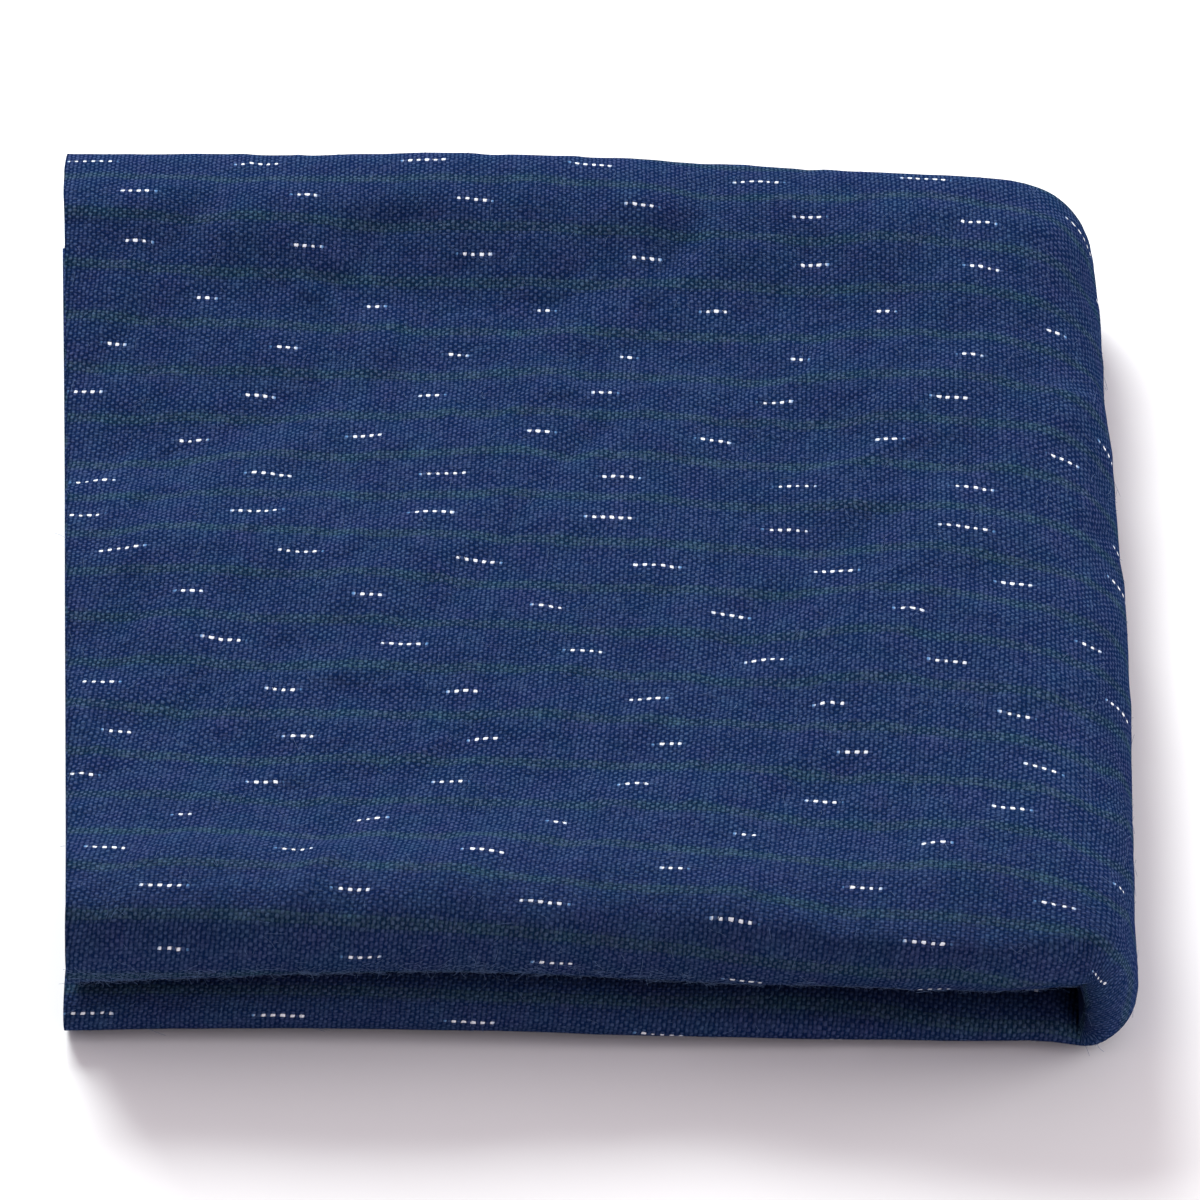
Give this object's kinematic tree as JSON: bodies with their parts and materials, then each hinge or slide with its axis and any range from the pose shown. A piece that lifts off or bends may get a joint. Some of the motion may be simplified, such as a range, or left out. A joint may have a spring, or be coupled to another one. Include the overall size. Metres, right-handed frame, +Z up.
{
  "type": "folded ikat cotton cloth",
  "caption": "Length of indigo cotton with white ikat dashes and faint green stripes, folded into a soft flat bundle with rounded edges.",
  "frame": {"origin": "centre of the bundle's box, on the surface it rests on", "axes": "+X along the stripes towards the doubled side, +Y from the front rim to the back, +Z up"},
  "size_m": [0.1232, 0.1478, 0.0174],
  "materials": {
    "indigo_cotton": "yarn-dyed plain weave, washed and matt, with white ikat dashes and thin green stripes"
  },
  "bodies": {
    "root": {"cloth": "indigo_cotton"}
  },
  "joints": []
}
